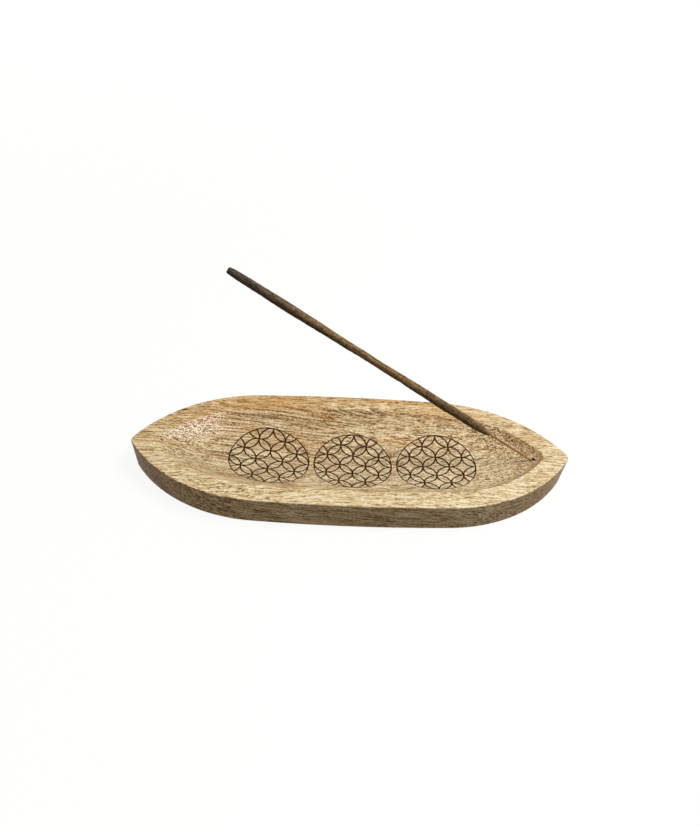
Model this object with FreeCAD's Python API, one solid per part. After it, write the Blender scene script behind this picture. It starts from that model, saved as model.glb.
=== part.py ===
import FreeCAD, Part
import math
import os

# Boat-shaped incense burner: a shallow dish carved from one block of wood, with an
# angled hole near one tip that holds a stick of incense over the hollow.
# Millimetres, +Z up. The origin is the middle of the underside, and +X points along
# the boat to the end with the hole.

# Plan of the tray
tray_length = 250.0
tray_width = 93.0
side_radius = 950.0
bow_radius = 86.0
tip_radius = 5.0

# Sides of the tray
tray_height = 18.5
hull_draft = 2.2
rim_bevel = 0.7
base_bevel = 1.5

# The hollow: steep walls inside a flat rim, blended into a dished floor
rim_width = 12.0
hollow_tip_radius = 6.5
wall_angle = 55.0
blend_radius = 5.5
hollow_depth = 13.5
floor_cross_radius = 65.0

# The keel is the floor's lowest line: a long arc, then a sharper arc up to each tip
keel_radius = 830.0
keel_end_length = 40.0
keel_tip_depth = 1.4

# The hole, drilled along the stick's axis
hole_setback = 6.4
stick_lean = 34.3
seat_depth = 11.0
hole_clearance = 0.7

# The stick: a bamboo core with incense paste rolled on it
core_diameter = 1.5
core_chamfer = 0.25
bare_length = 32.6
coat_length = 175.0
coat_diameter = 4.2
coat_tip_diameter = 3.3
coat_tip_taper = 16.0
coat_tip_chamfer = 0.4
coat_root_diameter = 2.3
coat_root_taper = 9.0
coat_over_core = 1.5


def vector(x, y, z=0.0):
    return FreeCAD.Vector(x, y, z)


def along(start, end, distance):
    """The point at a distance from start, on the line from start through end."""
    return start + (end - start).normalize() * distance


def arc(start, middle, end):
    return Part.Arc(start, middle, end).toShape()


def lines(points):
    """Straight edges from each point to the next."""
    return [Part.LineSegment(a, b).toShape() for a, b in zip(points, points[1:])]


def bow_centre():
    """Centre of the bow's arc at +X, +Y: the arc touches the side's and the tip's arcs from within."""
    side_centre = vector(0, tray_width / 2 - side_radius)
    tip_centre = vector(tray_length / 2 - tip_radius, 0)
    to_side = side_radius - bow_radius
    to_tip = bow_radius - tip_radius
    gap = (tip_centre - side_centre).Length
    lengthwise = (to_side**2 - to_tip**2 + gap**2) / (2 * gap)
    sideways = math.sqrt(to_side**2 - lengthwise**2)
    axis = (tip_centre - side_centre).normalize()
    return side_centre + axis * lengthwise + vector(-axis.y, axis.x) * sideways


class Outline:
    """The boat's plan, set in from the rim's outer edge by an inset, with tips of a given radius."""

    def __init__(self, inset, tip):
        bow = bow_centre()
        bow_arc = bow_radius - inset
        side_centre = vector(0, tray_width / 2 - side_radius)
        side_arc = side_radius - inset
        tip_centre = vector(bow.x + math.sqrt((bow_arc - tip) ** 2 - bow.y**2), 0)
        self.half_length = tip_centre.x + tip
        self.side_middle = side_centre + vector(0, side_arc)
        self.side_end = along(side_centre, bow, side_arc)
        self.bow_end = along(bow, tip_centre, bow_arc)
        self.bow_middle = along(bow, (self.side_end + self.bow_end) / 2, bow_arc)
        self.tip = vector(self.half_length, 0)

    def wire(self, height):
        """The closed outline at a height: two sides, four bows and two tips, all tangent arcs."""

        def half(sign):
            """A side and the end that follows it, clockwise. The other half is turned by 180 degrees."""

            def place(point, right=1, up=1):
                return vector(sign * right * point.x, sign * up * point.y, height)

            return [
                arc(place(self.side_end, right=-1), place(self.side_middle), place(self.side_end)),
                arc(place(self.side_end), place(self.bow_middle), place(self.bow_end)),
                arc(place(self.bow_end), place(self.tip), place(self.bow_end, up=-1)),
                arc(
                    place(self.bow_end, up=-1),
                    place(self.bow_middle, up=-1),
                    place(self.side_end, up=-1),
                ),
            ]

        return Part.Wire(half(1) + half(-1))


hollow_edge = Outline(rim_width, hollow_tip_radius)


class Keel:
    """The floor's lowest line in the XZ plane, from the middle out to +X."""

    def __init__(self):
        self.floor = vector(0, 0, tray_height - hollow_depth)
        middle_centre = self.floor + vector(0, 0, keel_radius)
        joint_x = hollow_edge.half_length - keel_end_length
        joint_rise = keel_radius - math.sqrt(keel_radius**2 - joint_x**2)
        self.joint = self.floor + vector(joint_x, 0, joint_rise)
        inward = (middle_centre - self.joint).normalize()
        tip = vector(hollow_edge.half_length, 0, tray_height - keel_tip_depth)
        chord = tip - self.joint
        self.end_radius = chord.Length**2 / (2 * chord.dot(inward))
        self.end_centre = self.joint + inward * self.end_radius

    def height(self, x):
        """Height of the end arc at a place along the boat."""
        return self.end_centre.z - math.sqrt(self.end_radius**2 - (x - self.end_centre.x) ** 2)

    def end_point(self, x):
        return vector(x, 0, self.height(x))


keel = Keel()


def mirrored(point):
    return vector(-point.x, point.y, point.z)


def dish():
    """The floor's shape as a solid: the keel turned about a level axis high above the floor."""
    axis_height = keel.floor.z + floor_cross_radius
    reach = tray_length / 2 + rim_width
    end = keel.end_point(reach)
    middle = keel.end_point((keel.joint.x + reach) / 2)
    top = vector(reach, 0, axis_height)
    edges = [
        arc(mirrored(end), mirrored(middle), mirrored(keel.joint)),
        arc(mirrored(keel.joint), keel.floor, keel.joint),
        arc(keel.joint, middle, end),
    ]
    edges += lines([end, top, mirrored(top), mirrored(end)])
    profile = Part.Face(Part.Wire(edges))
    return profile.revolve(vector(0, 0, axis_height), vector(1, 0, 0), 360)


def wall_plug():
    """The hollow's walls as a solid. It stands above the rim, to leave room for the blend."""
    slope = math.tan(math.radians(wall_angle))
    above = 2 * blend_radius
    lower = Outline(rim_width + hollow_depth / slope, hollow_tip_radius)
    upper = Outline(rim_width - above / slope, hollow_tip_radius)
    wires = [lower.wire(tray_height - hollow_depth), upper.wire(tray_height + above)]
    return Part.makeLoft(wires, True, True)


def is_floor(face):
    return face.Surface.TypeId == "Part::GeomSurfaceOfRevolution"


def hollow():
    """What is carved out: the space inside the walls and above the floor, with a blend between."""
    carved = dish().common(wall_plug()).Solids[0]
    creases = []
    for edge in carved.Edges:
        faces = carved.ancestorsOfType(edge, Part.Face)
        if [is_floor(face) for face in faces].count(True) == 1:
            creases.append(edge)
    return carved.makeFillet(blend_radius, creases)


def hull():
    """The block before it is carved: drafted sides, with a bevel along the base and the rim."""
    sections = [
        (hull_draft + base_bevel, 0.0),
        (hull_draft, base_bevel),
        (0.0, tray_height - rim_bevel),
        (rim_bevel, tray_height),
    ]
    wires = [Outline(inset, tip_radius).wire(height) for inset, height in sections]
    return Part.makeLoft(wires, True, True)


# The stick's axis: it leaves the hole's mouth, on the keel, and leans back over the hollow
mouth = keel.end_point(hollow_edge.half_length - hole_setback)
lean = math.radians(stick_lean)
stick_axis = vector(-math.cos(lean), 0, math.sin(lean))
seat = mouth - stick_axis * seat_depth


def wooden_tray():
    drill = Part.makeCylinder(core_diameter / 2 + hole_clearance, 2 * seat_depth, seat, stick_axis)
    return hull().cut(hollow()).cut(drill)


def turned(start, profile):
    """A solid turned about the stick's axis, from (distance along the axis, radius) points."""
    points = [vector(radius, 0, distance) for distance, radius in profile]
    face = Part.Face(Part.Wire(lines(points + points[:1])))
    solid = face.revolve(vector(0, 0, 0), vector(0, 0, 1), 360)
    solid.Placement = FreeCAD.Placement(start, FreeCAD.Rotation(vector(0, 0, 1), stick_axis))
    return solid


def bamboo_core():
    radius = core_diameter / 2
    length = seat_depth + bare_length + coat_length - coat_over_core
    profile = [
        (0.0, 0.0),
        (0.0, radius - core_chamfer),
        (core_chamfer, radius),
        (length, radius),
        (length, 0.0),
    ]
    return turned(seat, profile)


def incense_coat():
    """Paste rolled on the core: a drawn-out root, a straight stretch and a thinner blunt tip."""
    bore = core_diameter / 2
    full = coat_diameter / 2
    tip = coat_tip_diameter / 2
    root = coat_root_diameter / 2
    bore_end = coat_length - coat_over_core
    profile = [
        (0.0, bore),
        (0.0, root),
        (coat_root_taper / 2, (root + 3 * full) / 4),
        (coat_root_taper, full),
        (coat_length - coat_tip_taper, full),
        (coat_length - coat_tip_chamfer, tip),
        (coat_length, tip - coat_tip_chamfer),
        (coat_length, 0.0),
        (bore_end, 0.0),
        (bore_end, bore),
    ]
    return turned(mouth + stick_axis * bare_length, profile)


os.makedirs("parts", exist_ok=True)
for make in (wooden_tray, bamboo_core, incense_coat):
    shape = make()
    shape.exportStep(f"parts/{make.__name__}.step")
    print(make.__name__, "volume", round(shape.Volume, 1), "valid", shape.isValid())
print("mouth of the hole", mouth, "stick axis", stick_axis, "keel end radius", keel.end_radius)
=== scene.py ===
import math

import bmesh
import bpy
import numpy as np
from mathutils import Matrix, Vector
from mathutils.geometry import delaunay_2d_cdt


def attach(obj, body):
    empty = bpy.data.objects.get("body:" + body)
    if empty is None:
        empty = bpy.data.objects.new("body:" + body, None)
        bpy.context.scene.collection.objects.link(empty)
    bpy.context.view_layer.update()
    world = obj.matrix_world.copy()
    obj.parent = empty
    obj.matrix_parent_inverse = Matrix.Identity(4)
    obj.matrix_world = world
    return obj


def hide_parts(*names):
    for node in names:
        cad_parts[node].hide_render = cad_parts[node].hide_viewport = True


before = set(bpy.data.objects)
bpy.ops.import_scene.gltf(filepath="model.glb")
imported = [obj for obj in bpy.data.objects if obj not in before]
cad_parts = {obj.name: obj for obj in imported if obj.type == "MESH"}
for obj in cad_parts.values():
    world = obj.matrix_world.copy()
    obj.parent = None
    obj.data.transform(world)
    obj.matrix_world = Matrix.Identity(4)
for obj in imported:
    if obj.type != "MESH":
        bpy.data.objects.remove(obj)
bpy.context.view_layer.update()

# Boat-shaped incense burner: a dish carved from one block of mango wood, engraved with three
# roundels of overlapping circles, and a hand-rolled stick of incense standing in its hole.
# Sizes are in millimetres, as in the solids, and meshes are put down in metres.
MM = 0.001

# Plan of the tray
tray_length = 250.0
tray_width = 93.0
side_radius = 950.0
bow_radius = 86.0
tip_radius = 5.0

# Sides of the tray
tray_height = 18.5
hull_draft = 2.2
base_round = 1.2
rim_round = 0.6

# The hollow: steep walls inside a flat rim, blended into a dished floor
rim_width = 12.0
hollow_tip_radius = 6.5
wall_angle = math.radians(55.0)
wall_blend = 6.0
lip_round = 0.6
hollow_depth = 13.5
floor_cross_radius = 65.0

# The wall is carved less steep at the -X end, and eases into the rest between two places along X
gentle_wall_angle = math.radians(39.0)
gentle_wall_end = -68.0
steep_wall_start = -28.0

# The keel is the floor's lowest line: a long arc, then a sharper arc up to each tip
keel_radius = 830.0
keel_end_length = 40.0
keel_tip_depth = 1.4

# The engraved roundels: place along X, radius of the border, and turn in degrees
roundels = ((-47.2, 23.0, -3.5), (1.3, 22.5, -2.0), (49.8, 22.9, -1.0))
rings_in_border = 3
line_width = 0.70
line_bed = 0.36
line_depth = 0.40
border_fineness = 1.4
scorch_reach = 0.25

# The hole and the stick
hole_setback = 6.4
stick_lean = math.radians(34.3)
seat_depth = 11.0
hole_radius = 1.45
hole_lift = 0.5
core_radius = 0.62
bare_length = 32.6
coat_length = 175.0


def smooth_step(low, high, value):
    """0 at low and before, 1 at high and after, and an S-shaped cubic between."""
    share = np.clip((value - low) / (high - low), 0, 1)
    return share * share * (3 - 2 * share)


def strips(rows, columns, wrap=True):
    """Quads between neighbouring rows of a grid of points, closed around each row where it wraps."""
    across = columns if wrap else columns - 1
    row = np.arange(rows - 1)[:, None] * columns
    here = np.arange(across)[None, :]
    beside = (here + 1) % columns
    quads = [row + here, row + beside, row + columns + beside, row + columns + here]
    return np.stack(quads, -1).reshape(-1, 4).tolist()


def new_piece(name, points, faces, material, slot, body, node):
    """A mesh from points in millimetres, in its place in the frame, riding on a body and standing for a
    CAD node."""
    mesh = bpy.data.meshes.new(name)
    mesh.from_pydata((np.asarray(points) * MM).tolist(), [], faces)
    mesh.polygons.foreach_set("use_smooth", np.full(len(mesh.polygons), True))
    mesh.materials.append(material)
    piece = bpy.data.objects.new(name, mesh)
    bpy.context.scene.collection.objects.link(piece)
    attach(piece, body)
    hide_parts(node)
    return piece


# Plan outlines

side_centre = np.array([0.0, tray_width / 2 - side_radius])


def bow_centre():
    """Centre of the bow's arc, which touches the side's and the tip's arcs from within."""
    tip = np.array([tray_length / 2 - tip_radius, 0.0])
    gap = np.linalg.norm(tip - side_centre)
    to_side = side_radius - bow_radius
    to_tip = bow_radius - tip_radius
    lengthwise = (to_side**2 - to_tip**2 + gap**2) / (2 * gap)
    sideways = math.sqrt(to_side**2 - lengthwise**2)
    axis = (tip - side_centre) / gap
    return side_centre + axis * lengthwise + np.array([-axis[1], axis[0]]) * sideways


bow = bow_centre()
side_turn = math.atan2(bow[1] - side_centre[1], bow[0])
tip_steps, bow_steps, side_steps = 14, 60, 88
ring_count = 4 * (tip_steps + bow_steps + side_steps)


def tip_centre(inset, tip):
    """Place along X of the tip's arc, which touches the bow's arc from within."""
    return bow[0] + math.sqrt((bow_radius - inset - tip) ** 2 - bow[1] ** 2)


def outline(inset, tip):
    """The boat's plan set in from the rim's outer edge. Each point is its arc's centre plus the arc's
    radius along the outward normal, and the normal turns from the tip's arc to the bow's and the
    side's. One quarter is worked out, and the others mirror it, anticlockwise from the +X tip."""
    tip_turn = math.atan2(-bow[1], tip_centre(inset, tip) - bow[0])
    turns = [
        np.linspace(0, tip_turn, tip_steps, endpoint=False),
        np.linspace(tip_turn, side_turn, bow_steps, endpoint=False),
        np.linspace(side_turn, math.pi / 2, side_steps + 1),
    ]
    centres = [np.array([tip_centre(inset, tip), 0.0]), bow, side_centre]
    radii = [tip, bow_radius - inset, side_radius - inset]
    quarter = np.concatenate([
        centre + radius * np.stack([np.cos(turn), np.sin(turn)], -1)
        for centre, radius, turn in zip(centres, radii, turns)
    ])
    mirror_x = quarter * [-1, 1]
    mirror_y = quarter * [1, -1]
    return np.concatenate([quarter[:-1], mirror_x[:0:-1], -quarter[:-1], mirror_y[:0:-1]])


def inset_of(x, y):
    """How far the outline through a point of the hollow is set in, measured from the arc of the side,
    the bow or the tip, whichever the point lies on."""
    x = np.abs(x)
    y = np.abs(y)
    from_side = side_radius - np.hypot(x, y - side_centre[1])
    from_bow = bow_radius - np.hypot(x - bow[0], y - bow[1])
    centre = x - np.sqrt(np.clip(hollow_tip_radius**2 - y**2, 0, None))
    reach = np.hypot(centre - bow[0], bow[1])
    from_tip = bow_radius - hollow_tip_radius - reach
    in_tip = (y < -hollow_tip_radius * bow[1] / reach) & (x > bow[0])
    in_side = np.arctan2(y - side_centre[1], x) > side_turn
    return np.where(in_side, from_side, np.where(in_tip, from_tip, from_bow))


# The hollow's surface

hollow_half_length = tip_centre(rim_width, hollow_tip_radius) + hollow_tip_radius
floor_height = tray_height - hollow_depth
keel_joint_x = hollow_half_length - keel_end_length


def keel_end():
    """Centre and radius of the keel's end arc, tangent to its middle arc and passing under the tip."""
    rise = keel_radius - math.sqrt(keel_radius**2 - keel_joint_x**2)
    joint = np.array([keel_joint_x, floor_height + rise])
    inward = np.array([0.0, floor_height + keel_radius]) - joint
    inward /= np.linalg.norm(inward)
    chord = np.array([hollow_half_length, tray_height - keel_tip_depth]) - joint
    radius = chord @ chord / (2 * chord @ inward)
    return joint + inward * radius, radius


keel_end_centre, keel_end_radius = keel_end()


def keel_height(x):
    """Height of the floor's lowest line: a long arc in the middle and a sharper one to each tip."""
    x = np.abs(x)
    middle = floor_height + keel_radius - np.sqrt(keel_radius**2 - x**2)
    across = np.clip(x - keel_end_centre[0], -keel_end_radius, keel_end_radius)
    end = keel_end_centre[1] - np.sqrt(keel_end_radius**2 - across**2)
    return np.where(x < keel_joint_x, middle, end)


# Waves that a scraper and sandpaper leave: length along X, length along Y, phase and height
hand_waves = ((31, 12, 0.3, 0.05), (-19, 17, 1.9, 0.05), (12, -9, 4.1, 0.03), (47, 7, 2.2, 0.04))


def hand_marks(x, y):
    """The slight unevenness of handwork: a sum of low sine waves."""
    return sum(
        height * np.sin(2 * math.pi * (x / along + y / across) + phase)
        for along, across, phase, height in hand_waves
    )


def blend(first, second, reach):
    """How far a rounded blend of two heights stands off the nearer one: a parabola over the stretch where
    they differ by less than its reach."""
    return np.clip(1 - np.abs(first - second) / reach, 0, None) ** 2 * reach / 4


def hollow_height(x, y):
    """Height of the hollow's surface: the larger of the dished floor and the sloping wall, with a rounded
    blend between them, then the hand marks and a rounded lip. The floor is the keel turned about a level
    axis high above it. The wall falls by the tangent of its angle from the rim's inner edge. The blend
    narrows and the marks fade where the floor nears the rim's height."""
    axis_height = floor_height + floor_cross_radius
    dish = axis_height - np.sqrt((axis_height - keel_height(x)) ** 2 - y**2)
    steeper = (wall_angle - gentle_wall_angle) * smooth_step(gentle_wall_end, steep_wall_start, x)
    wall = tray_height - (inset_of(x, y) - rim_width) * np.tan(gentle_wall_angle + steeper)
    depth = np.clip(tray_height - dish, 0.01, None)
    carved = np.maximum(dish, wall) + blend(dish, wall, np.minimum(wall_blend, depth))
    carved = carved + hand_marks(x, y) * depth / hollow_depth
    return np.minimum(carved, tray_height) - blend(carved, tray_height, lip_round)


# The engraved lines

def line_distance(x, y):
    """Distance from the middle of the nearest engraved line. A roundel is its border and, inside it, rings
    of a third of its radius, set on every second point of a square lattice of that pitch. The border's
    distance counts for more, so its line is finer."""
    nearest = np.full(x.shape, tray_length)
    for place, border, turn in roundels:
        ring_radius = border / rings_in_border
        cosine = math.cos(math.radians(turn))
        sine = math.sin(math.radians(turn))
        u = ((x - place) * cosine + y * sine) / ring_radius
        v = (y * cosine - (x - place) * sine) / ring_radius
        radius = np.hypot(u, v)
        inside = radius < rings_in_border
        nearest = np.minimum(nearest, np.abs(radius - rings_in_border) * ring_radius * border_fineness)
        for a_step, b_step in ((0, 0), (0, 1), (1, 0), (1, 1)):
            a = np.floor((u + v) / 2) + a_step
            b = np.floor((u - v) / 2) + b_step
            gap = np.abs(np.hypot(u - a - b, v - a + b) - 1) * ring_radius
            nearest = np.where(inside, np.minimum(nearest, gap), nearest)
    return nearest


def in_roundel(x, y):
    """1 inside the border of a roundel and 0 outside, eased over the border."""
    nearly_out, nearly_in = 0.2, -0.4
    cover = [
        smooth_step(nearly_out, nearly_in, np.hypot(x - place, y) - border)
        for place, border, turn in roundels
    ]
    return np.max(cover, axis=0)


def roundel_circles():
    """(centre, radius, steps) of a roundel's circles, in ring radii: its border, then the rings that reach
    inside it."""
    border_steps, ring_steps = 168, 60
    circles = [(np.zeros(2), rings_in_border, border_steps)]
    reach = rings_in_border + 1
    for i in range(-reach, reach + 1):
        for j in range(-reach, reach + 1):
            if (i + j) % 2 == 0 and math.hypot(i, j) < reach:
                circles.append((np.array([i, j]), 1, ring_steps))
    return circles


def engraving_lines():
    """Polylines for the mesh to follow, on both sides of each engraved line: along the edges of its bed,
    its lips and the end of its burn mark. The rings stop at their roundel's border."""
    points = []
    links = []
    count = 0
    edges = (line_bed / 2, line_width / 2, line_width / 2 + scorch_reach)
    offsets = np.array([side * edge for edge in edges for side in (-1, 1)])
    for place, border, twist in roundels:
        cosine = math.cos(math.radians(twist))
        sine = math.sin(math.radians(twist))
        twisted = np.array([[cosine, sine], [-sine, cosine]])
        ring_radius = border / rings_in_border
        for centre, radius, steps in roundel_circles():
            is_border = radius == rings_in_border
            turn = np.linspace(0, 2 * math.pi, steps, endpoint=False)
            for offset in offsets / border_fineness if is_border else offsets:
                reach = radius * ring_radius + offset
                local = np.stack([np.cos(turn), np.sin(turn)], -1) * reach + centre @ twisted * ring_radius
                keep = (np.hypot(*local.T) < border - line_bed / 2) | is_border
                number = count + np.cumsum(keep) - 1
                both = keep & np.roll(keep, -1)
                links.append(np.stack([number, np.roll(number, -1)], -1)[both])
                points.append(local[keep] + [place, 0.0])
                count += int(keep.sum())
    return np.concatenate(points), np.concatenate(links)


# The stick's line: it leaves the hole's mouth, on the keel, and leans back over the hollow

mouth_x = hollow_half_length - hole_setback
mouth = np.array([mouth_x, 0.0, float(keel_height(np.array(mouth_x)))])
stick_axis = np.array([-math.cos(stick_lean), 0.0, math.sin(stick_lean)])
stick_up = np.array([math.sin(stick_lean), 0.0, math.cos(stick_lean)])
stick_side = np.array([0.0, 1.0, 0.0])


def around_stick(distance, radius, turn):
    """Points at a distance along the stick from the hole's mouth, and at a radius from its axis."""
    distance, radius, turn = np.broadcast_arrays(distance, radius, turn)
    spoke = np.cos(turn)[..., None] * stick_up + np.sin(turn)[..., None] * stick_side
    return mouth + distance[..., None] * stick_axis + radius[..., None] * spoke


hole_turn = np.linspace(0, 2 * math.pi, 40, endpoint=False)


def around_hole(distance):
    """Points on the hole's wall. The stick lies on the wall's lower side, so the hole's axis is above the
    stick's."""
    return around_stick(distance, hole_radius, hole_turn) + hole_lift * stick_up


def hole_mouth():
    """Distances along the hole at which its wall meets the floor: each point slides along the axis until
    its height is the floor's."""
    distance = np.zeros(len(hole_turn))
    for _ in range(40):
        point = around_hole(distance)
        distance -= point[:, 2] - hollow_height(point[:, 0], point[:, 1])
    return distance


# The tray's mesh: rings down to this inset, and triangles inside it on a lattice of this pitch

floor_inset = 14.6
fill_pitch = 2.2
round_rows, side_rows, rim_rows, lip_rows, wall_rows = 7, 10, 10, 9, 7
bore_rows, base_rows = 12, 15


def ring_places():
    """(inset, height) of the tray's rings up to the lip: around the base's rounded edge, up the drafted
    side, over the rim's rounded outer edge and across the rim."""
    draft = math.atan2(hull_draft, tray_height)
    slope = math.pi / 2 - draft
    base_in = hull_draft + base_round * math.tan(slope / 2)
    places = [
        (base_in - base_round * math.sin(turn), base_round * (1 - math.cos(turn)))
        for turn in np.linspace(0, slope, round_rows)
    ]
    side_top = tray_height - 2 * rim_round
    places += [
        (hull_draft * (1 - height / tray_height), height)
        for height in np.linspace(places[-1][1], side_top, side_rows)[1:]
    ]
    rim_in = rim_round / math.tan(slope / 2)
    places += [
        (rim_in - rim_round * math.cos(turn), tray_height - rim_round * (1 - math.sin(turn)))
        for turn in np.linspace(-draft, math.pi / 2, round_rows)
    ]
    across = np.linspace(rim_in, rim_width - lip_round, rim_rows)[1:-1]
    return places + [(inset, tray_height) for inset in across]


def ring_plan(inset):
    """The outline at an inset. Its tips grow blunter across the rim, to the hollow's tip radius."""
    share = min(inset / rim_width, 1.0)
    return outline(inset, tip_radius + share * (hollow_tip_radius - tip_radius))


def tray_rings():
    """The tray's sides, rim and wall: the outline carried through the ring places, and on over the lip and
    down the wall."""
    rings = [np.column_stack([ring_plan(i), np.full(ring_count, h)]) for i, h in ring_places()]
    lip = rim_width + lip_round * np.linspace(-1, 1, lip_rows)
    wall = np.linspace(lip[-1], floor_inset, wall_rows)[1:]
    for inset in np.concatenate([lip, wall]):
        plan = ring_plan(inset)
        rings.append(np.column_stack([plan, hollow_height(*plan.T)]))
    return np.array(rings)


def inside_loop(points, loop):
    """True for points inside a closed loop: a line from the point towards +X crosses the loop an odd
    number of times."""
    x, y = points.T[:, :, None]
    ahead = np.roll(loop, -1, axis=0)
    level = (loop[:, 1] > y) != (ahead[:, 1] > y)
    share = (y - loop[:, 1]) / np.where(level, ahead[:, 1] - loop[:, 1], 1)
    crossed = level & (x < loop[:, 0] + share * (ahead[:, 0] - loop[:, 0]))
    return crossed.sum(1) % 2 == 1


def fill_points():
    """Points of the plan between the edges that the floor's triangles follow: an even lattice, kept clear
    of the engraved lines, the floor's edge and the hole, and three ovals round the hole."""
    off_axis, off_lines, off_edge, off_hole = 0.37, 0.5, 1.0, 3.0
    half = np.ceil(np.array([tray_length, tray_width]) / 2 / fill_pitch)
    grid = np.stack(np.meshgrid(np.arange(-half[0], half[0]), np.arange(-half[1], half[1])), -1)
    fill = grid.reshape(-1, 2) * fill_pitch + off_axis
    clear = line_distance(*fill.T) > line_width / 2 + scorch_reach + off_lines
    clear &= inset_of(*fill.T) > floor_inset + off_edge
    clear &= np.hypot(fill[:, 0] - mouth_x, fill[:, 1]) > off_hole
    length = np.array([2.9, 3.9, 5.2])[:, None]
    width = 0.8 * length
    oval_off_edge = 0.4
    ovals = np.stack([mouth_x + length * np.cos(hole_turn), width * np.sin(hole_turn)], -1)
    ovals = ovals.reshape(-1, 2)
    ovals = ovals[inset_of(*ovals.T) > floor_inset + oval_off_edge]
    return np.concatenate([fill[clear], ovals])


def floor_mesh(edge, hole):
    """The floor inside its edge ring: triangles between the edge, the hole's mouth, the engraved lines and
    the fill points. Each point's height is the hollow's, less the depth of the engraved line, which is
    full on the bed and ends at the lips."""
    lines, links = engraving_lines()
    loops = [edge[:, :2], hole[:, :2]]
    points = np.concatenate(loops + [lines, fill_points()])
    edges = []
    first = 0
    for loop in loops:
        number = np.arange(len(loop))
        edges.append(np.stack([number, np.roll(number, -1)], -1) + first)
        first += len(loop)
    edges = np.concatenate(edges + [links + first])
    result = delaunay_2d_cdt([Vector(p) for p in points], edges.tolist(), [], 0, 1e-4)
    plan = np.array([tuple(p) for p in result[0]])
    faces = np.array(result[2])
    corner = plan[faces]
    turned = np.cross(corner[:, 1] - corner[:, 0], corner[:, 2] - corner[:, 0])
    faces[turned < 0] = faces[turned < 0][:, ::-1]
    faces = faces[~inside_loop(corner.mean(1), loops[1])]
    depth = line_depth * smooth_step(line_width / 2, line_bed / 2, line_distance(*plan.T))
    return np.column_stack([plan, hollow_height(*plan.T) - depth]), faces.tolist()


def tray_skin():
    """All of the tray's surface: rings, floor, the drilled hole with its flat end, and the underside,
    which is a grid of rows along the boat between mirrored points of the lowest ring."""
    rings = tray_rings()
    share = np.linspace(0, 1, bore_rows)[:, None]
    bore = around_hole(hole_mouth() * (1 - share) - seat_depth * share)
    floor, floor_faces = floor_mesh(rings[-1], bore[0])
    half = ring_count // 2
    port = rings[0][: half + 1]
    across = np.linspace(1, -1, base_rows)[:, None, None]
    base = port * np.array([1, 0, 1]) + port * np.array([0, 1, 0]) * across
    steps = len(hole_turn)
    points = []
    faces = []

    def join(new_points, new_faces):
        first = sum(len(p) for p in points)
        points.append(new_points.reshape(-1, 3))
        faces.extend([[first + i for i in face] for face in new_faces])

    join(rings, strips(len(rings), ring_count))
    join(floor, floor_faces)
    join(bore, strips(len(bore), steps))
    join(bore[-1], [list(range(steps))])
    join(base, strips(len(base), half + 1, wrap=False))
    return np.concatenate(points), faces


def close_seams(mesh):
    """Merges the points where two stretches of skin meet, turns every face outwards and keeps the edges
    that are really sharp."""
    same_place = 0.002 * MM
    sharp_angle = math.radians(28)
    skin = bmesh.new()
    skin.from_mesh(mesh)
    bmesh.ops.remove_doubles(skin, verts=skin.verts, dist=same_place)
    bmesh.ops.recalc_face_normals(skin, faces=skin.faces)
    skin.to_mesh(mesh)
    skin.free()
    mesh.set_sharp_from_angle(angle=sharp_angle)


# Materials

def linear(code):
    """A colour written as an sRGB hex value, as the linear values that shaders take."""
    parts = [int(code[i : i + 2], 16) / 255 for i in (1, 3, 5)]
    return [c / 12.92 if c <= 0.04045 else ((c + 0.055) / 1.055) ** 2.4 for c in parts] + [1.0]


def add(tree, kind, inputs=None, stops=None, **settings):
    """Adds a node with its settings and gives its first output. An input is a value or another output."""
    node = tree.nodes.new("ShaderNode" + kind)
    for name, value in settings.items():
        setattr(node, name, value)
    for name, value in (inputs or {}).items():
        if isinstance(value, bpy.types.NodeSocket):
            tree.links.new(value, node.inputs[name])
        else:
            node.inputs[name].default_value = value
    for number, (place, colour) in enumerate(stops or []):
        elements = node.color_ramp.elements
        element = elements[number] if number < len(elements) else elements.new(place)
        element.position = place
        element.color = linear(colour)
    return next(output for output in node.outputs if output.enabled)


def new_material(name):
    """A new material, its node tree and its surface shader."""
    material = bpy.data.materials.new(name)
    material.use_nodes = True
    tree = material.node_tree
    return material, tree, tree.nodes["Principled BSDF"]


# Where in the noise the block is cut from
grain_start = [25.34, 41.14, 14.42]
broad_start = [46.67, 74.53, 31.79]
no_start = [0.0, 0.0, 0.0]

# How far the fibres dip below the level towards +X
fibre_dip = math.radians(7.0)

# How far the heart of the tree lies to +Y of the block and below it, and the width of a growth ring
heart_distance = 90.0
growth_ring = 3.2


def along_grain(tree, place, length, width, start):
    """Coordinates that step by 1 over a length along X and over a width across it, in millimetres."""
    scale = [1 / (length * MM), 1 / (width * MM), 1 / (width * MM)]
    return add(tree, "Mapping", {"Vector": place, "Location": start, "Scale": scale})


def grain(tree, place, length, width, start=grain_start, **noise):
    """Noise whose blots are this long along X and this wide across it, in millimetres."""
    stretched = along_grain(tree, place, length, width, start)
    inputs = {"Vector": stretched, "Scale": 1.0, "Detail": 2.0, "Roughness": 0.55}
    return add(tree, "TexNoise", {**inputs, **noise})


def swaying(tree, place):
    """Coordinates that sway across the boat, first in long waves and then in short ones, so that streaks
    drawn on them run as the fibres grew."""
    for length, width, sway in ((95, 30, 10.0), (26, 9, 1.6)):
        drift = along_grain(tree, place, length, width, no_start)
        drift = add(tree, "TexNoise", {"Vector": drift, "Scale": 1.0, "Detail": 1.0}).node.outputs["Color"]
        inputs = {0: drift, 1: [0, sway * MM, sway * MM], 2: place}
        place = add(tree, "VectorMath", inputs, operation="MULTIPLY_ADD")
    return place


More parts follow.
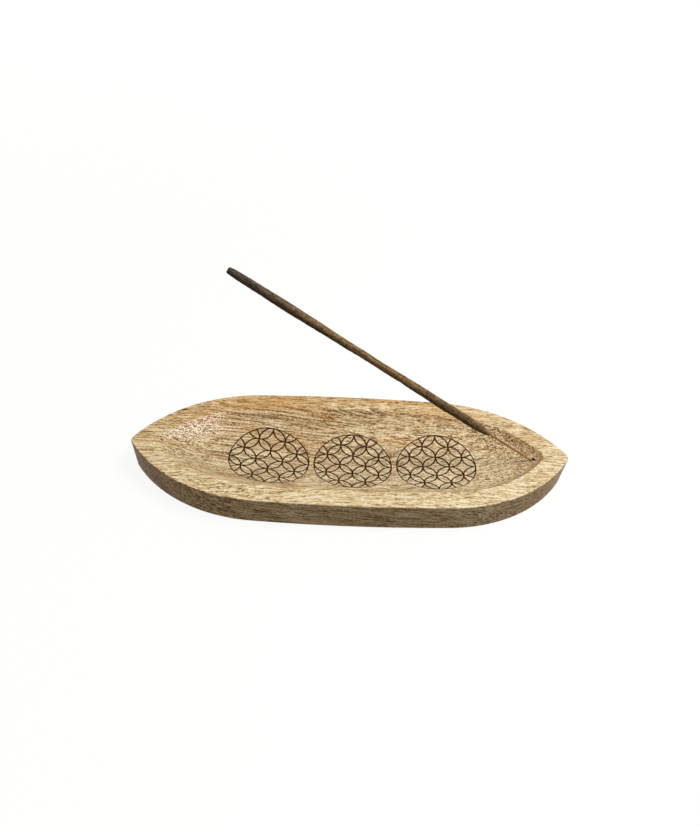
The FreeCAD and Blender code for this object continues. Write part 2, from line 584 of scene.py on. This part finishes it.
def wood_tone(tree, level, swayed, fibres):
    """How pale the wood is, from 0 to 1: patterns added up by their weights, about a middle tone. They are
    the rim, which is palest, the sapwood, the growth rings, broad bands, streaks, fine lines, dashes and
    pores. The last three are 0.6 to 0.85 mm wide, coarser than real ones, so that they show."""
    height = add(tree, "SeparateXYZ", {0: level}).node.outputs["Z"]
    limits = {"From Min": (tray_height - 1.0) * MM, "From Max": (tray_height - 0.1) * MM}
    rim = add(tree, "MapRange", {"Value": height, **limits})
    sapwood = add(tree, "VectorMath", {0: swayed, 1: [0.3, -1.0, 0]}, operation="DOT_PRODUCT")
    sapwood = sapwood.node.outputs["Value"]
    sapwood = add(tree, "MapRange", {"Value": sapwood, "From Min": -70 * MM, "From Max": 70 * MM})
    from_heart = {"Location": [0, -heart_distance * MM, heart_distance * MM], "Scale": [0, 1, 1]}
    radius = add(tree, "Mapping", {"Vector": swayed, **from_heart})
    radius = add(tree, "VectorMath", {0: radius}, operation="LENGTH").node.outputs["Value"]
    rings = add(tree, "Math", {0: radius, 1: 1 / (growth_ring * MM)}, operation="MULTIPLY")
    rings = add(tree, "TexNoise", {"W": rings, "Scale": 1.0, "Detail": 2.0}, noise_dimensions="1D")
    lines = grain(tree, fibres, 70, 0.85, Detail=1.0)
    dashes = grain(tree, fibres, 13, 0.8, Detail=1.0)
    pores = grain(tree, fibres, 1.7, 0.6, Detail=1.0)
    layers = [
        (rim, 0.078),
        (sapwood, 0.13),
        (rings, 0.10),
        (grain(tree, fibres, 150, 11.0, start=broad_start), 0.26),
        (grain(tree, fibres, 120, 2.2), 0.34),
        (add(tree, "MapRange", {"Value": lines, "From Min": 0.40, "From Max": 0.60}), 0.29),
        (add(tree, "MapRange", {"Value": dashes, "From Min": 0.42, "From Max": 0.58}), 0.12),
        (add(tree, "MapRange", {"Value": pores, "From Min": 0.42, "From Max": 0.58}), 0.22),
    ]
    middle = 0.486
    tone = middle - sum(weight for layer, weight in layers) / 2
    for layer, weight in layers:
        tone = add(tree, "Math", {0: layer, 1: weight, 2: tone}, operation="MULTIPLY_ADD")
    return tone


wood_colours = [
    (0.20, "#6E4C22"),
    (0.41, "#C0A679"),
    (0.52, "#D0BA90"),
    (0.61, "#DCCDA6"),
    (0.72, "#EAE2C6"),
]


def wood_colour(tree, tone, fibres, carved, end_grain):
    """The wood's colour by its tone, more amber in places and towards +Y, and browner where the fibres are
    cut across, as end grain is; the fibres' dip makes that browning stronger on slopes that face -X, away
    from the lamp, which is painted shade. Both are a little weaker on the rim and the sides, which took
    less of the oil."""
    colour = add(tree, "ValToRGB", {"Fac": tone}, stops=wood_colours)
    oiled = add(tree, "MapRange", {"Value": carved, "To Min": 0.8, "To Max": 1.0})
    across = add(tree, "VectorMath", {0: fibres, 1: [-0.4, 6.5, 0]}, operation="DOT_PRODUCT")
    amber = add(tree, "Math", {0: grain(tree, fibres, 90, 14.0), 1: across.node.outputs["Value"]})
    amber = add(tree, "MapRange", {"Value": amber, "From Min": 0.58, "From Max": 0.9})
    # Browner where the fibres are cut across: partly end grain, and partly painted shade on slopes that
    # face -X, away from the lamp.
    brown = add(tree, "MapRange", {"Value": end_grain, "From Min": 0.28, "From Max": 0.72, "To Max": 0.85})
    for share, tint in ((amber, "#F0D1A6"), (brown, "#D2B48C")):
        share = add(tree, "Math", {0: share, 1: oiled}, operation="MULTIPLY")
        inputs = {0: share, 6: colour, 7: linear(tint)}
        colour = add(tree, "Mix", inputs, data_type="RGBA", blend_type="MULTIPLY")
    return colour


def vessel_marks(tree, fibres, carved):
    """Dark dashes, one in each cell of a stretched Voronoi pattern, fainter in the hollow. The vessels of
    mango wood are about 0.2 mm wide, and are drawn about 0.5 mm wide, so that they show."""
    cells = along_grain(tree, fibres, 7, 1.3, no_start)
    cells = add(tree, "TexVoronoi", {"Vector": cells, "Scale": 1.0})
    limits = {"From Min": 0.12, "From Max": 0.30, "To Min": 1.0, "To Max": 0.0}
    marks = add(tree, "MapRange", {"Value": cells, **limits})
    strength = add(tree, "MapRange", {"Value": carved, "To Min": 0.8, "To Max": 0.45})
    return add(tree, "Math", {0: marks, 1: strength}, operation="MULTIPLY")


def mango_wood():
    """Mango wood, carved, sanded and oiled. Pale sapwood runs into browner wood nearer the heart, with
    straight streaks and short dark dashes where the vessels are cut along. The hollow is rougher, most of
    all where the fibres are cut across, and glossier, so its ends are dotted and glint. Roundels are
    sanded paler, and their lines are scorched in. The drilled hole is darkened with painted shade."""
    material, tree, surface = new_material("oiled_mango_wood")
    level = add(tree, "TexCoord").node.outputs["Object"]
    swayed = swaying(tree, level)
    fibres = add(tree, "Mapping", {"Vector": swayed, "Rotation": [0, -fibre_dip, 0]})
    carved, end_grain, sanded, burn_and_hole_shade = (
        add(tree, "Attribute", attribute_name=name).node.outputs["Fac"]
        for name in ("carved", "end_grain", "sanded", "burn_and_hole_shade")
    )
    grit = grain(tree, fibres, 0.9, 0.7, Detail=1.0)
    limits = {"From Min": 0.40, "From Max": 0.60, "To Min": -0.5, "To Max": 0.5}
    grit = add(tree, "MapRange", {"Value": grit, **limits})
    limits = {"From Min": 0.12, "From Max": 0.5, "To Min": 0.12, "To Max": 0.46}
    rough = add(tree, "MapRange", {"Value": end_grain, **limits})
    rough = add(tree, "Math", {0: rough, 1: carved}, operation="MULTIPLY")

    tone = wood_tone(tree, level, swayed, fibres)
    tone = add(tree, "Math", {0: grit, 1: rough, 2: tone}, operation="MULTIPLY_ADD")
    colour = wood_colour(tree, tone, fibres, carved, end_grain)
    vessels = vessel_marks(tree, fibres, carved)
    sanded_paler = 0.08
    sanded = add(tree, "Math", {0: sanded, 1: sanded_paler}, operation="MULTIPLY")
    # The last cover, the engraved lines' dark brown, also darkens the hole, where it is painted shade.
    for share, cover in ((vessels, "#5E3C14"), (sanded, "#F6EBD2"), (burn_and_hole_shade, "#3C2204")):
        colour = add(tree, "Mix", {0: share, 6: colour, 7: linear(cover)}, data_type="RGBA")
    tree.links.new(colour, surface.inputs["Base Color"])

    dull = add(tree, "MapRange", {"Value": vessels, "To Min": 0.45, "To Max": 0.7})
    dull = add(tree, "Math", {0: burn_and_hole_shade, 1: 0.5, 2: dull}, operation="MULTIPLY_ADD")
    tree.links.new(dull, surface.inputs["Roughness"])
    relief = add(tree, "Math", {0: vessels, 1: -1.0, 2: tone}, operation="MULTIPLY_ADD")
    bump = add(tree, "Bump", {"Height": relief, "Distance": 0.08 * MM, "Strength": 0.6})
    tree.links.new(bump, surface.inputs["Normal"])
    inputs = {"Height": grit, "Distance": 0.10 * MM, "Strength": rough, "Normal": bump}
    tree.links.new(add(tree, "Bump", inputs), surface.inputs["Coat Normal"])

    gloss = add(tree, "MapRange", {"Value": carved, "To Min": 0.2, "To Max": 1.0})
    # Gloss is taken off the engraved lines and off the hole's painted shade.
    unburnt = add(tree, "Math", {0: 1.0, 1: burn_and_hole_shade}, operation="SUBTRACT")
    limits = {"From Min": -0.5, "From Max": 0.5, "To Min": 0.1, "To Max": 1.3}
    unbroken = add(tree, "MapRange", {"Value": grit, **limits})
    for share in (unburnt, unbroken):
        gloss = add(tree, "Math", {0: gloss, 1: share}, operation="MULTIPLY")
    tree.links.new(gloss, surface.inputs["Coat Weight"])
    surface.inputs["Coat Roughness"].default_value = 0.22
    surface.inputs["Specular IOR Level"].default_value = 0.02
    return material


def along_stick(tree):
    """Object coordinates turned so that X runs along the stick."""
    place = add(tree, "TexCoord").node.outputs["Object"]
    return add(tree, "Mapping", {"Vector": place, "Rotation": [0, math.pi - stick_lean, 0]})


def bamboo():
    """Split bamboo, shaved round: brown straw with fine darker fibres along it and a dull shine."""
    material, tree, surface = new_material("split_bamboo")
    fibres = grain(tree, along_stick(tree), 14, 0.22)
    stops = [(0.32, "#5E3A12"), (0.5, "#8E632A"), (0.66, "#AC824A")]
    colour = add(tree, "ValToRGB", {"Fac": fibres}, stops=stops)
    tree.links.new(colour, surface.inputs["Base Color"])
    surface.inputs["Roughness"].default_value = 0.5
    return material


# Colours of the paste, by share of the way from the hole's mouth to the stick's end
paste_colours = [
    (0.16, "#665237"),
    (0.3, "#5C4A2F"),
    (0.6, "#785F3C"),
    (0.84, "#57462F"),
    (1.0, "#3E3528"),
]
paste_end = 207.0


def incense_paste():
    """Charcoal, wood powder and resin rolled on by hand and dried: dull, rough and dark, with a golden
    brown stretch in the middle, streaks and dusty grains. Painted shade darkens its underside, towards -Y,
    and its upper side is painted a little lighter."""
    material, tree, surface = new_material("dried_incense_paste")
    place = along_stick(tree)
    start = float(mouth @ stick_axis) * MM
    span = add(tree, "SeparateXYZ", {0: place})
    span = add(tree, "MapRange", {"Value": span, "From Min": start, "From Max": start + paste_end * MM})
    colour = add(tree, "ValToRGB", {"Fac": span}, stops=paste_colours)
    streaks = grain(tree, place, 7, 1.1, Detail=3.0)
    dust = grain(tree, place, 1.5, 0.9, Detail=3.0)
    tone = add(tree, "Math", {0: dust, 1: 1.3, 2: 0.15}, operation="MULTIPLY_ADD")
    tone = add(tree, "Math", {0: streaks, 1: 1.0, 2: tone}, operation="MULTIPLY_ADD")
    limits = {"From Min": 1.06, "From Max": 1.54, "To Min": 0.2, "To Max": 1.9}
    tone = add(tree, "MapRange", {"Value": tone, **limits})
    # Painted shade: the paste darkens towards its underside, on the -Y side, down to 0.45 of its colour,
    # and is painted up to 1.15 times lighter on its upper side.
    underside = -0.8 * stick_up - 0.6 * stick_side
    middle = float(mouth @ underside)
    under = add(tree, "TexCoord").node.outputs["Object"]
    under = add(tree, "VectorMath", {0: under, 1: underside.tolist()}, operation="DOT_PRODUCT")
    reach = {"From Min": (middle - 0.8) * MM, "From Max": (middle + 2.0) * MM}
    painted_shade_levels = {"To Min": 1.15, "To Max": 0.45}
    under = add(tree, "MapRange", {"Value": under.node.outputs["Value"], **reach, **painted_shade_levels})
    tone = add(tree, "Math", {0: tone, 1: under}, operation="MULTIPLY")
    colour = add(tree, "VectorMath", {0: colour, "Scale": tone}, operation="SCALE")
    tree.links.new(colour, surface.inputs["Base Color"])
    bump = add(tree, "Bump", {"Height": dust, "Distance": 0.15 * MM, "Strength": 0.5})
    tree.links.new(bump, surface.inputs["Normal"])
    surface.inputs["Roughness"].default_value = 0.65
    surface.inputs["Specular IOR Level"].default_value = 0.2
    return material


# What the wood's material reads at each point of the tray

def in_hole(place):
    """True on the hole's wall and its end, from a little below the mouth."""
    spoke = place - mouth - hole_lift * stick_up
    along = spoke @ stick_axis
    from_axis = np.linalg.norm(spoke - along[:, None] * stick_axis, axis=1)
    below_mouth = place[:, 2] < hollow_height(place[:, 0], place[:, 1]) - 0.3
    return (from_axis < hole_radius + 0.02) & (along > -seat_depth - 0.1) & below_mouth


def mark_wood(mesh):
    """Sets an attribute for each finish: one for the burn on the engraved lines, which also carries
    painted shade in the hole, carved in the hollow up to its lip, sanded inside the roundels, and
    end_grain where the fibres are cut across."""
    place = np.empty(len(mesh.vertices) * 3)
    mesh.vertices.foreach_get("co", place)
    place = place.reshape(-1, 3) / MM
    normal = np.empty(len(mesh.vertices) * 3)
    mesh.vertices.foreach_get("normal", normal)
    x, y, z = place.T
    above_base = z > 2.0
    # Painted shade: the hole's wall and end get 0.9 of the engraved lines' darkening, in the same
    # attribute.
    hole_painted_shade = 0.9
    scorch_fade = 0.1
    lip = line_width / 2
    burnt_and_hole_shaded = smooth_step(lip + scorch_reach, lip - scorch_fade, line_distance(x, y))
    burnt_and_hole_shaded = np.maximum(burnt_and_hole_shaded * above_base, hole_painted_shade * in_hole(place))
    below_rim = smooth_step(tray_height - 0.1, tray_height - lip_round, z)
    fibres = np.array([math.cos(fibre_dip), 0.0, -math.sin(fibre_dip)])
    finishes = {
        "carved": ((inset_of(x, y) > rim_width - lip_round) & above_base) * below_rim,
        "sanded": in_roundel(x, y) * above_base,
        "burn_and_hole_shade": burnt_and_hole_shaded,
        "end_grain": np.abs(normal.reshape(-1, 3) @ fibres),
    }
    for name, values in finishes.items():
        attribute = mesh.attributes.new(name, "FLOAT", "POINT")
        attribute.data.foreach_set("value", values.astype(np.float32))


# The stick's meshes

def rod(distance, radius, turn):
    """A closed surface about the stick's axis: rings of a given radius at each distance, and a point at
    each end."""
    ring = around_stick(distance, radius, turn)
    ends = [around_stick(distance[i, 0], 0.0, 0.0)[None] for i in (0, -1)]
    rows, columns = radius.shape
    faces = strips(rows, columns)
    last = rows * columns
    around = np.arange(columns)
    beside = np.roll(around, -1)
    faces += np.stack([beside, around, np.full(columns, last)], -1).tolist()
    top = (rows - 1) * columns
    faces += np.stack([top + around, top + beside, np.full(columns, last + 1)], -1).tolist()
    return np.concatenate([ring.reshape(-1, 3)] + ends), faces


def lumps(shape, blur, seed):
    """Random bumps over a grid that closes on itself, smoothed by a bell curve of a blur given in rows and
    columns, and scaled to a spread of 1."""
    noise = np.fft.fft2(np.random.default_rng(seed).standard_normal(shape))
    waves = [np.fft.fftfreq(count) * size for count, size in zip(shape, blur)]
    bell = np.exp(-2 * math.pi**2 * (waves[0][:, None] ** 2 + waves[1][None, :] ** 2))
    smooth = np.fft.ifft2(noise * bell).real
    return smooth / smooth.std()


def quarter_round(distance, reach):
    """Rises from 0 to 1 over a reach, as a quarter of a circle."""
    share = np.clip(distance / reach, 0, 1)
    return np.sqrt(share * (2 - share))


def bamboo_stick():
    """The core: a rod of rounded square section, a little lumpy along its fibres, eased at its foot. It
    ends inside the paste."""
    rows, columns = 240, 28
    in_paste = 8.0
    distance = np.linspace(-seat_depth, bare_length + in_paste, rows)[:, None]
    turn = np.linspace(0, 2 * math.pi, columns, endpoint=False)[None]
    squareness = 0.05 * np.cos(4 * turn + 0.6)
    fibres = 0.018 * lumps((rows, columns), (14, 0.7), 3)
    foot = 0.72 + 0.28 * quarter_round(distance + seat_depth, 0.5)
    return rod(distance, core_radius * (1 + squareness + fibres) * foot, turn)


# Hand-rolled thickness: (distance from the hole's mouth, diameter)
coat_thickness = (
    (32.6, 1.9), (34, 2.8), (37, 3.9), (42, 4.7), (50, 5.0), (66, 4.8), (78, 4.8), (90, 4.6), (98, 4.3),
    (104, 4.35), (114, 4.0), (126, 4.1), (138, 4.4), (150, 4.6), (168, 5.0), (186, 4.8), (198, 4.4),
    (204, 3.9), (207.6, 3.3),
)


def incense_coat():
    """The paste: a rod whose thickness wanders along it, with lumps and grit, drawn out to the bamboo at
    its root and cut blunt at its tip."""
    rows, columns = 620, 44
    end = bare_length + coat_length
    distance = np.linspace(bare_length, end, rows)[:, None]
    turn = np.linspace(0, 2 * math.pi, columns, endpoint=False)[None]
    places, diameters = np.array(coat_thickness).T
    thickness = np.interp(distance, places, diameters) / 2
    rolled = 0.055 * lumps((rows, columns), (14, 5), 11)
    grains = 0.035 * lumps((rows, columns), (2.2, 1.6), 12)
    ends = 0.8 + 0.2 * quarter_round(np.minimum(distance - bare_length, end - distance), 0.7)
    return rod(distance, (thickness + rolled + grains) * ends, turn)


tray = new_piece("carved_tray", *tray_skin(), mango_wood(), "mango_wood", "tray", "wooden_tray")
close_seams(tray.data)
mark_wood(tray.data)
new_piece("bamboo_stick", *bamboo_stick(), bamboo(), "bamboo", "stick", "bamboo_core")
new_piece("rolled_incense", *incense_coat(), incense_paste(), "incense_paste", "stick", "incense_coat")

# Camera, as the photograph was taken

image_width = 700
focal_pixels = 917.781
camera_place = Vector((-23.095, -391.581, 366.788)) * MM
camera_yaw, camera_pitch, camera_roll = (math.radians(a) for a in (3.0023, 39.4389, 4.3708))
camera_data = bpy.data.cameras.new("camera")
camera_data.sensor_fit = "HORIZONTAL"
camera_data.sensor_width = 36.0
camera_data.lens = focal_pixels / image_width * camera_data.sensor_width
camera_data.clip_start = 0.01
camera = bpy.data.objects.new("camera", camera_data)
camera.matrix_world = (
    Matrix.Translation(camera_place)
    @ Matrix.Rotation(-camera_yaw, 4, "Z")
    @ Matrix.Rotation(math.pi / 2 - camera_pitch, 4, "X")
    @ Matrix.Rotation(camera_roll, 4, "Z")
)
bpy.context.scene.collection.objects.link(camera)
bpy.context.scene.camera = camera

# Light and floor, in metres

white = [1, 1, 1, 1]
fill_colour = linear("#FFEDD7")
fill_strength = 0.41
floor_grey = 0.09
floor_reach = 6.0
floor_drop = 0.02 * MM


def lamp(name, place, size, power):
    """A round soft lamp that faces the object."""
    data = bpy.data.lights.new(name, "AREA")
    data.shape = "DISK"
    data.size = size
    data.energy = power
    thing = bpy.data.objects.new(name, data)
    thing.location = place
    thing.rotation_euler = Vector(place).to_track_quat("Z", "Y").to_euler()
    bpy.context.scene.collection.objects.link(thing)


def seen_background(tree):
    """1 for rays that show the background: from the camera, in a gloss or through a clear piece."""
    path = add(tree, "LightPath").node.outputs
    seen = path["Is Camera Ray"]
    for name in ("Is Glossy Ray", "Is Transmission Ray"):
        seen = add(tree, "Math", {0: seen, 1: path[name]}, operation="MAXIMUM")
    return seen


def paper_sweep():
    """White paper that keeps a light shadow. Where it is seen, it glows enough to look white in the lamp's
    light, and a little more far away, where that light fades."""
    material, tree, surface = new_material("paper_sweep")
    surface.inputs["Base Color"].default_value = [floor_grey, floor_grey, floor_grey, 1]
    surface.inputs["Roughness"].default_value = 1.0
    surface.inputs["Specular IOR Level"].default_value = 0.0
    surface.inputs["Emission Color"].default_value = white
    distance = add(tree, "TexCoord").node.outputs["Object"]
    distance = add(tree, "VectorMath", {0: distance}, operation="LENGTH").node.outputs["Value"]
    limits = {"From Min": 0.3, "From Max": 1.5, "To Min": 1 - floor_grey, "To Max": 0.976}
    glow = add(tree, "MapRange", {"Value": distance, **limits})
    glow = add(tree, "Math", {0: seen_background(tree), 1: glow}, operation="MULTIPLY")
    tree.links.new(glow, surface.inputs["Emission Strength"])
    return material


def lay_floor():
    """A square of paper just under the tray, so that the two faces don't coincide."""
    mesh = bpy.data.meshes.new("floor")
    corners = [(x * floor_reach, y * floor_reach, 0) for x, y in ((-1, -1), (1, -1), (1, 1), (-1, 1))]
    mesh.from_pydata(corners, [], [(0, 1, 2, 3)])
    mesh.materials.append(paper_sweep())
    floor = bpy.data.objects.new("floor", mesh)
    floor.location.z = -floor_drop
    bpy.context.scene.collection.objects.link(floor)


def light_world():
    """A dim warm fill from all round, which looks white where it is seen."""
    world = bpy.data.worlds.new("studio")
    bpy.context.scene.world = world
    world.use_nodes = True
    tree = world.node_tree
    background = tree.nodes["Background"]
    seen = seen_background(tree)
    strength = add(tree, "MapRange", {"Value": seen, "To Min": fill_strength, "To Max": 1.0})
    tree.links.new(strength, background.inputs["Strength"])
    colour = add(tree, "Mix", {0: seen, 6: fill_colour, 7: white}, data_type="RGBA")
    tree.links.new(colour, background.inputs["Color"])


lamp("high_softbox", place=(0.84, -0.10, 1.60), size=1.0, power=27.4)
lay_floor()
light_world()
bpy.context.scene.view_settings.view_transform = "Standard"
